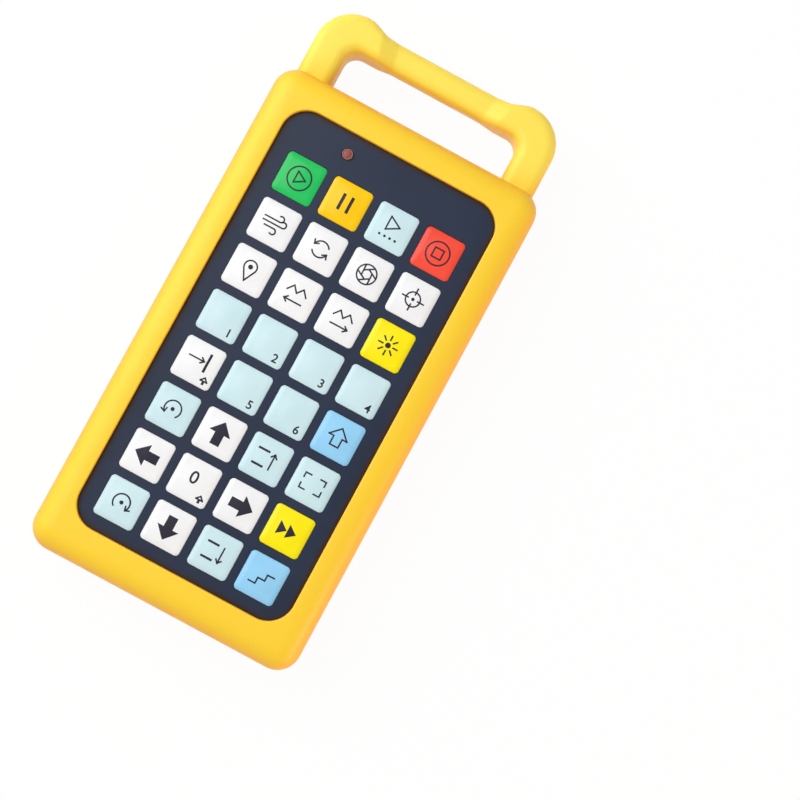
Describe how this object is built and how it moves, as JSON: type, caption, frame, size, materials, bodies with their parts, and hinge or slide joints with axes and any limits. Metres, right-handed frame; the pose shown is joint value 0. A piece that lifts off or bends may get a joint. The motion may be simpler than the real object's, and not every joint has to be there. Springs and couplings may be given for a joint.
{
  "type": "wireless handheld controller",
  "caption": "Handheld wireless keypad controller in a one-piece silicone jacket with a carry handle, with press keys on a membrane panel, a lamp and a battery door on the back",
  "frame": {"origin": "below the middle of the whole length, on the plane that the back of the jacket rests on", "axes": "+X across the keypad to the right, +Y along it towards the handle, +Z out of the keys"},
  "size_m": [0.1024, 0.215, 0.03],
  "materials": {
    "silicone_jacket": "satin moulded silicone",
    "case_plastic": "moulded, fine spark texture",
    "keypad_film": "back-printed film, fine velvet texture",
    "key_white": "back-printed film, embossed",
    "key_cyan": "back-printed film, embossed",
    "key_yellow": "back-printed film, embossed",
    "key_amber": "back-printed film, embossed",
    "key_green": "back-printed film, embossed",
    "key_red": "back-printed film, embossed",
    "key_blue": "back-printed film, embossed",
    "spacer_film": "die-cut film",
    "dome_steel": "sprung sheet",
    "circuit_film": "polyimide film",
    "circuit_board": "solder resist on glass fibre",
    "chip_plastic": "moulded epoxy",
    "can_steel": "tinned sheet",
    "socket_plastic": "moulded",
    "lamp_white": "moulded, clear epoxy",
    "lens_red": "moulded, tinted clear plastic",
    "cell_can": "sleeved can",
    "contact_nickel": "nickel-plated strip",
    "screw_steel": "blackened steel"
  },
  "bodies": {
    "handset": {"jacket": "silicone_jacket", "front_shell": "case_plastic", "rear_shell": "case_plastic", "keypad_overlay": "keypad_film", "keypad_spacer": "spacer_film", "snap_domes": "dome_steel", "keypad_circuit": "circuit_film", "tail_connector": "socket_plastic", "main_board": "circuit_board", "controller_chip": "chip_plastic", "radio_module": "circuit_board", "radio_shield": "can_steel", "board_components": "chip_plastic", "status_led": "lamp_white", "status_lens": "lens_red", "battery_cell_left": "cell_can", "battery_cell_right": "cell_can", "contact_positive": "contact_nickel", "contact_negative": "contact_nickel", "contact_bridge": "contact_nickel", "case_screws": "screw_steel", "board_screws": "screw_steel"},
    "key_start": {"key_start": "key_green"},
    "key_pause": {"key_pause": "key_amber"},
    "key_dry_run": {"key_dry_run": "key_cyan"},
    "key_stop": {"key_stop": "key_red"},
    "key_air": {"key_air": "key_white"},
    "key_follow": {"key_follow": "key_white"},
    "key_shutter": {"key_shutter": "key_white"},
    "key_aim": {"key_aim": "key_white"},
    "key_locate": {"key_locate": "key_white"},
    "key_back": {"key_back": "key_white"},
    "key_forward": {"key_forward": "key_white"},
    "key_beam": {"key_beam": "key_yellow"},
    "key_user_1": {"key_user_1": "key_cyan"},
    "key_user_2": {"key_user_2": "key_cyan"},
    "key_user_3": {"key_user_3": "key_cyan"},
    "key_user_4": {"key_user_4": "key_cyan"},
    "key_edge": {"key_edge": "key_white"},
    "key_user_5": {"key_user_5": "key_cyan"},
    "key_user_6": {"key_user_6": "key_cyan"},
    "key_shift": {"key_shift": "key_blue"},
    "key_turn_left": {"key_turn_left": "key_cyan"},
    "key_up": {"key_up": "key_white"},
    "key_raise": {"key_raise": "key_cyan"},
    "key_frame": {"key_frame": "key_cyan"},
    "key_left": {"key_left": "key_white"},
    "key_zero": {"key_zero": "key_white"},
    "key_right": {"key_right": "key_white"},
    "key_fast": {"key_fast": "key_yellow"},
    "key_turn_right": {"key_turn_right": "key_cyan"},
    "key_down": {"key_down": "key_white"},
    "key_lower": {"key_lower": "key_cyan"},
    "key_step": {"key_step": "key_blue"},
    "battery_door": {"battery_door": "case_plastic"}
  },
  "joints": [
    {"name": "door_tilt", "type": "hinge", "parent": "handset", "child": "battery_door", "pos_m": [0, -0.03085, 0.00355], "axis": [1, 0, 0], "range_deg": [0, 35]},
    {"name": "press_start", "type": "slide", "parent": "handset", "child": "key_start", "axis": [0, 0, -1], "range_m": [0, 0.0005], "stiffness_N_per_m": 3000, "deforming": ["snap_domes"]},
    {"name": "press_pause", "type": "slide", "parent": "handset", "child": "key_pause", "axis": [0, 0, -1], "range_m": [0, 0.0005], "stiffness_N_per_m": 3000, "deforming": ["snap_domes"]},
    {"name": "press_dry_run", "type": "slide", "parent": "handset", "child": "key_dry_run", "axis": [0, 0, -1], "range_m": [0, 0.0005], "stiffness_N_per_m": 3000, "deforming": ["snap_domes"]},
    {"name": "press_stop", "type": "slide", "parent": "handset", "child": "key_stop", "axis": [0, 0, -1], "range_m": [0, 0.0005], "stiffness_N_per_m": 3000, "deforming": ["snap_domes"]},
    {"name": "press_air", "type": "slide", "parent": "handset", "child": "key_air", "axis": [0, 0, -1], "range_m": [0, 0.0005], "stiffness_N_per_m": 3000, "deforming": ["snap_domes"]},
    {"name": "press_follow", "type": "slide", "parent": "handset", "child": "key_follow", "axis": [0, 0, -1], "range_m": [0, 0.0005], "stiffness_N_per_m": 3000, "deforming": ["snap_domes"]},
    {"name": "press_shutter", "type": "slide", "parent": "handset", "child": "key_shutter", "axis": [0, 0, -1], "range_m": [0, 0.0005], "stiffness_N_per_m": 3000, "deforming": ["snap_domes"]},
    {"name": "press_aim", "type": "slide", "parent": "handset", "child": "key_aim", "axis": [0, 0, -1], "range_m": [0, 0.0005], "stiffness_N_per_m": 3000, "deforming": ["snap_domes"]},
    {"name": "press_locate", "type": "slide", "parent": "handset", "child": "key_locate", "axis": [0, 0, -1], "range_m": [0, 0.0005], "stiffness_N_per_m": 3000, "deforming": ["snap_domes"]},
    {"name": "press_back", "type": "slide", "parent": "handset", "child": "key_back", "axis": [0, 0, -1], "range_m": [0, 0.0005], "stiffness_N_per_m": 3000, "deforming": ["snap_domes"]},
    {"name": "press_forward", "type": "slide", "parent": "handset", "child": "key_forward", "axis": [0, 0, -1], "range_m": [0, 0.0005], "stiffness_N_per_m": 3000, "deforming": ["snap_domes"]},
    {"name": "press_beam", "type": "slide", "parent": "handset", "child": "key_beam", "axis": [0, 0, -1], "range_m": [0, 0.0005], "stiffness_N_per_m": 3000, "deforming": ["snap_domes"]},
    {"name": "press_user_1", "type": "slide", "parent": "handset", "child": "key_user_1", "axis": [0, 0, -1], "range_m": [0, 0.0005], "stiffness_N_per_m": 3000, "deforming": ["snap_domes"]},
    {"name": "press_user_2", "type": "slide", "parent": "handset", "child": "key_user_2", "axis": [0, 0, -1], "range_m": [0, 0.0005], "stiffness_N_per_m": 3000, "deforming": ["snap_domes"]},
    {"name": "press_user_3", "type": "slide", "parent": "handset", "child": "key_user_3", "axis": [0, 0, -1], "range_m": [0, 0.0005], "stiffness_N_per_m": 3000, "deforming": ["snap_domes"]},
    {"name": "press_user_4", "type": "slide", "parent": "handset", "child": "key_user_4", "axis": [0, 0, -1], "range_m": [0, 0.0005], "stiffness_N_per_m": 3000, "deforming": ["snap_domes"]},
    {"name": "press_edge", "type": "slide", "parent": "handset", "child": "key_edge", "axis": [0, 0, -1], "range_m": [0, 0.0005], "stiffness_N_per_m": 3000, "deforming": ["snap_domes"]},
    {"name": "press_user_5", "type": "slide", "parent": "handset", "child": "key_user_5", "axis": [0, 0, -1], "range_m": [0, 0.0005], "stiffness_N_per_m": 3000, "deforming": ["snap_domes"]},
    {"name": "press_user_6", "type": "slide", "parent": "handset", "child": "key_user_6", "axis": [0, 0, -1], "range_m": [0, 0.0005], "stiffness_N_per_m": 3000, "deforming": ["snap_domes"]},
    {"name": "press_shift", "type": "slide", "parent": "handset", "child": "key_shift", "axis": [0, 0, -1], "range_m": [0, 0.0005], "stiffness_N_per_m": 3000, "deforming": ["snap_domes"]},
    {"name": "press_turn_left", "type": "slide", "parent": "handset", "child": "key_turn_left", "axis": [0, 0, -1], "range_m": [0, 0.0005], "stiffness_N_per_m": 3000, "deforming": ["snap_domes"]},
    {"name": "press_up", "type": "slide", "parent": "handset", "child": "key_up", "axis": [0, 0, -1], "range_m": [0, 0.0005], "stiffness_N_per_m": 3000, "deforming": ["snap_domes"]},
    {"name": "press_raise", "type": "slide", "parent": "handset", "child": "key_raise", "axis": [0, 0, -1], "range_m": [0, 0.0005], "stiffness_N_per_m": 3000, "deforming": ["snap_domes"]},
    {"name": "press_frame", "type": "slide", "parent": "handset", "child": "key_frame", "axis": [0, 0, -1], "range_m": [0, 0.0005], "stiffness_N_per_m": 3000, "deforming": ["snap_domes"]},
    {"name": "press_left", "type": "slide", "parent": "handset", "child": "key_left", "axis": [0, 0, -1], "range_m": [0, 0.0005], "stiffness_N_per_m": 3000, "deforming": ["snap_domes"]},
    {"name": "press_zero", "type": "slide", "parent": "handset", "child": "key_zero", "axis": [0, 0, -1], "range_m": [0, 0.0005], "stiffness_N_per_m": 3000, "deforming": ["snap_domes"]},
    {"name": "press_right", "type": "slide", "parent": "handset", "child": "key_right", "axis": [0, 0, -1], "range_m": [0, 0.0005], "stiffness_N_per_m": 3000, "deforming": ["snap_domes"]},
    {"name": "press_fast", "type": "slide", "parent": "handset", "child": "key_fast", "axis": [0, 0, -1], "range_m": [0, 0.0005], "stiffness_N_per_m": 3000, "deforming": ["snap_domes"]},
    {"name": "press_turn_right", "type": "slide", "parent": "handset", "child": "key_turn_right", "axis": [0, 0, -1], "range_m": [0, 0.0005], "stiffness_N_per_m": 3000, "deforming": ["snap_domes"]},
    {"name": "press_down", "type": "slide", "parent": "handset", "child": "key_down", "axis": [0, 0, -1], "range_m": [0, 0.0005], "stiffness_N_per_m": 3000, "deforming": ["snap_domes"]},
    {"name": "press_lower", "type": "slide", "parent": "handset", "child": "key_lower", "axis": [0, 0, -1], "range_m": [0, 0.0005], "stiffness_N_per_m": 3000, "deforming": ["snap_domes"]},
    {"name": "press_step", "type": "slide", "parent": "handset", "child": "key_step", "axis": [0, 0, -1], "range_m": [0, 0.0005], "stiffness_N_per_m": 3000, "deforming": ["snap_domes"]}
  ]
}
